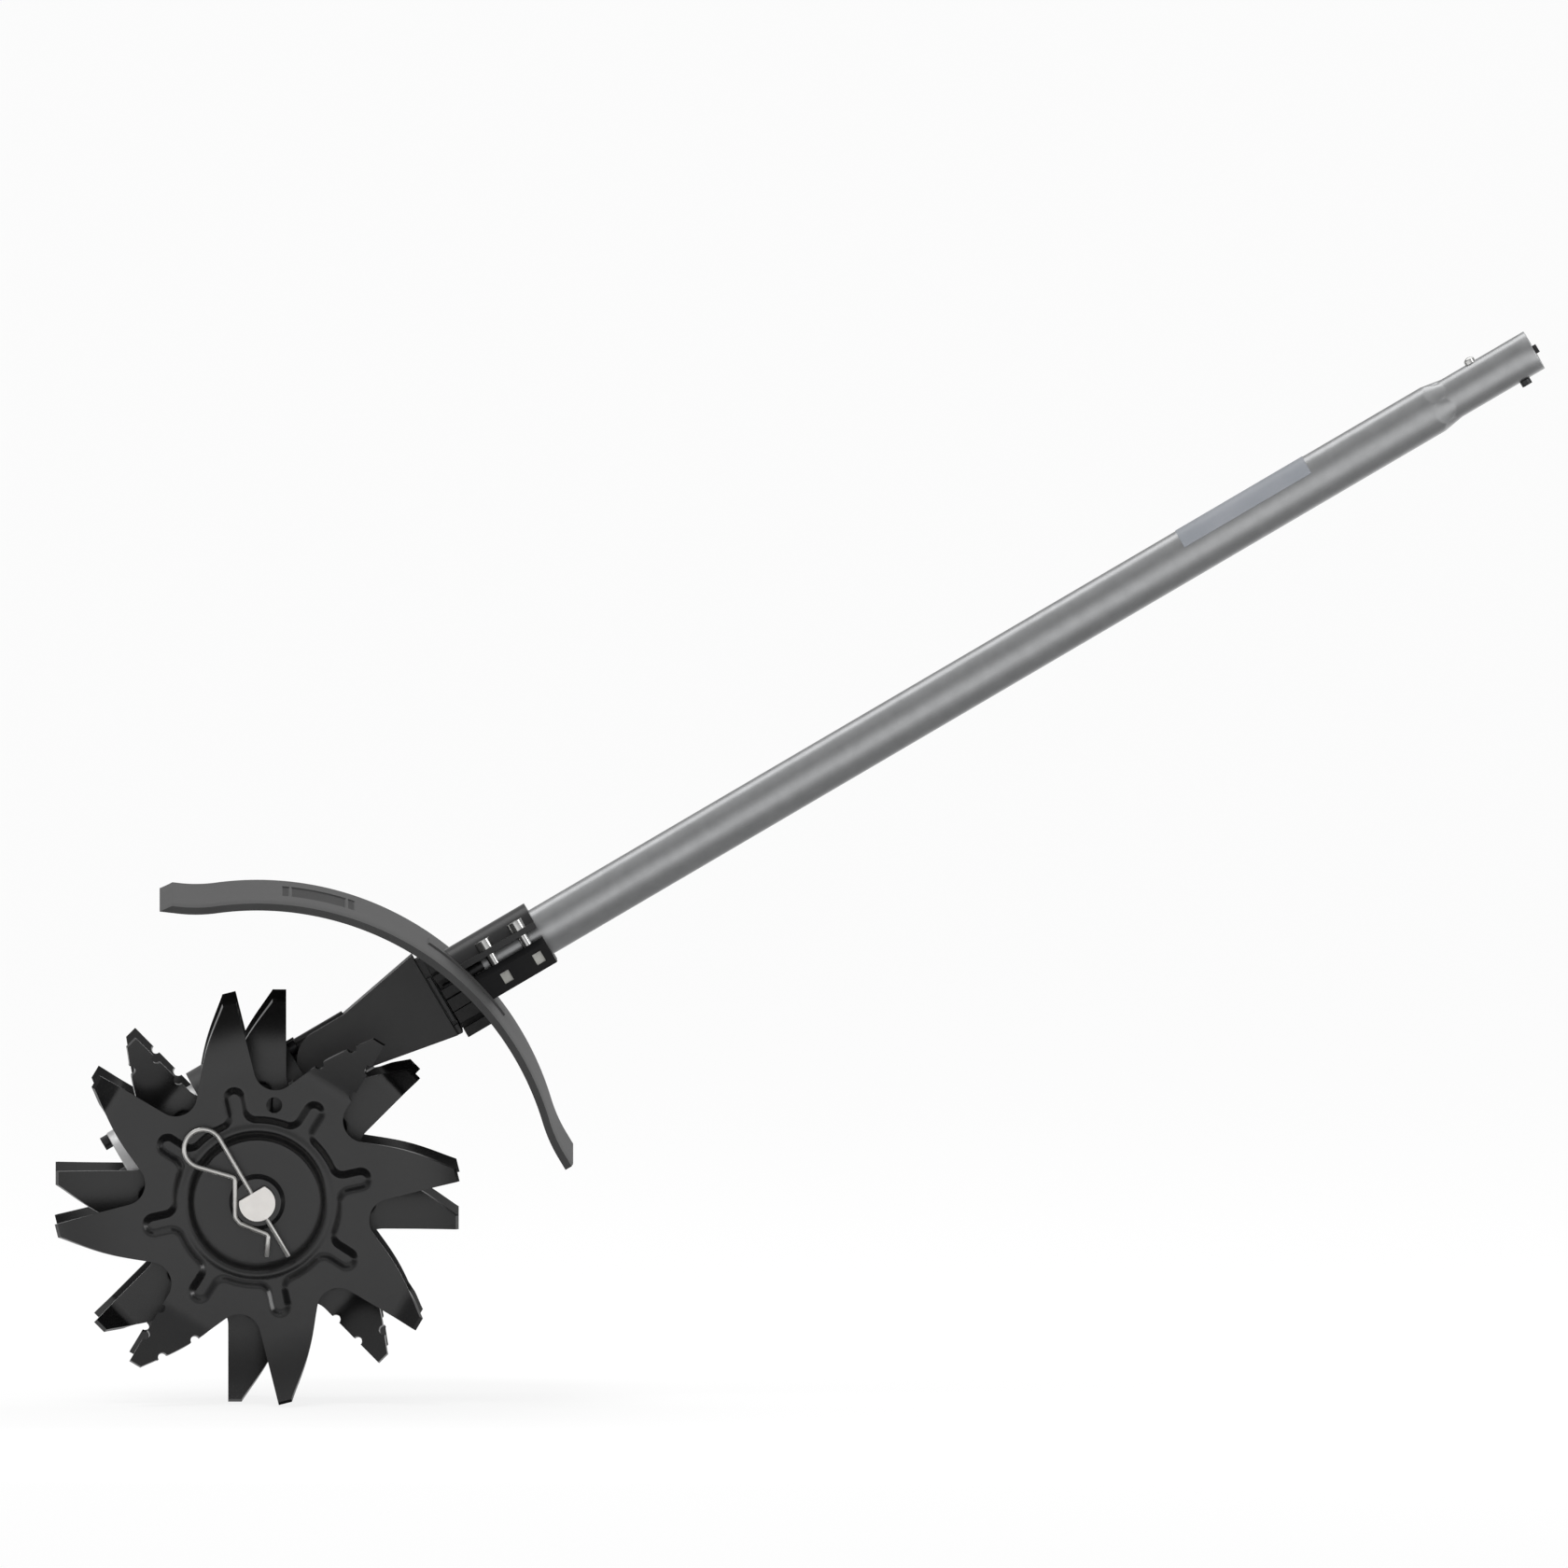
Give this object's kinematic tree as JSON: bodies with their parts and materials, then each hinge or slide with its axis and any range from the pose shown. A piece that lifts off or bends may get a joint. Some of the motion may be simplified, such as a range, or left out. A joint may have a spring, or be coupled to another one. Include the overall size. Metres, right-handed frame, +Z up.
{
  "type": "rotary cultivator attachment",
  "caption": "Cultivator attachment for a power head: drive tube with a spring-button end, arched guard, worm gear case and star-shaped tine discs on a pinned cross axle.",
  "frame": {"origin": "middle of the tube's open end, on the tube's axis", "axes": "+X level, from the tines towards the power head; +Y along the tine axle, away from the picture's camera; +Z up. The tube rises 30.4 degrees from level, as pictured"},
  "size_m": [0.755, 0.29, 0.5414],
  "materials": {
    "tube_aluminium": "satin drawn",
    "cast_aluminium": "machined casting",
    "black_coated": "black powder coat",
    "tine_coating": "satin black powder coat",
    "black_hub": "gloss black coat",
    "guard_plastic": "grained grey moulding",
    "black_plastic": "moulded",
    "label": "bare satin film",
    "bright_steel": "zinc plated",
    "polished_steel": "polished",
    "black_steel": "black oxide",
    "spring_wire": "bright plated wire",
    "bronze": "machined",
    "seal_rubber": "moulded"
  },
  "bodies": {
    "housing": {"shaft_tube": "tube_aluminium", "tube_end_bushing": "black_plastic", "bushing_screw": "black_steel", "detent_spring": "bright_steel", "tube_bushings": "black_plastic", "tube_label": "label", "worm_bearings": "bright_steel", "drive_seal": "seal_rubber", "gear_case_near": "cast_aluminium", "gear_case_far": "cast_aluminium", "case_screws": "black_steel", "end_cap": "cast_aluminium", "end_cap_screws": "black_steel", "neck_housing": "black_coated", "neck_screws": "black_steel", "stop_plate": "black_plastic", "guard": "guard_plastic", "guard_screws": "bright_steel", "clamp_upper": "black_plastic", "clamp_lower": "black_plastic", "clamp_screws": "bright_steel", "clamp_nuts": "bright_steel", "axle_bushes": "bronze", "axle_seals": "seal_rubber"},
    "drive": {"drive_shaft": "black_steel", "shaft_pin": "bright_steel", "worm": "bright_steel"},
    "rotor": {"tine_axle": "bright_steel", "worm_wheel": "bronze", "wheel_key": "bright_steel", "thrust_washers": "bright_steel", "inner_hubs": "black_hub", "outer_hubs": "black_hub", "tine_outer_near": "tine_coating", "tine_inner_near": "tine_coating", "tine_inner_far": "tine_coating", "tine_outer_far": "tine_coating", "hairpin_near": "spring_wire", "hairpin_far": "spring_wire"},
    "button": {"detent_button": "polished_steel"}
  },
  "joints": [
    {"name": "tine_spin", "type": "hinge", "parent": "housing", "child": "rotor", "pos_m": [-0.64686, 0, -0.42936], "axis": [0, 1, 0], "continuous": true},
    {"name": "drive_spin", "type": "hinge", "parent": "housing", "child": "drive", "pos_m": [0, 0, 0], "axis": [0.8625, 0, 0.506], "continuous": true},
    {"name": "detent_press", "type": "slide", "parent": "housing", "child": "button", "axis": [0.506, 0, -0.8625], "range_m": [0, 0.0028], "stiffness_N_per_m": 800, "deforming": ["detent_spring"]}
  ],
  "couplings": [
    {"joint": "drive_spin", "follows": "tine_spin", "ratio": -32}
  ]
}
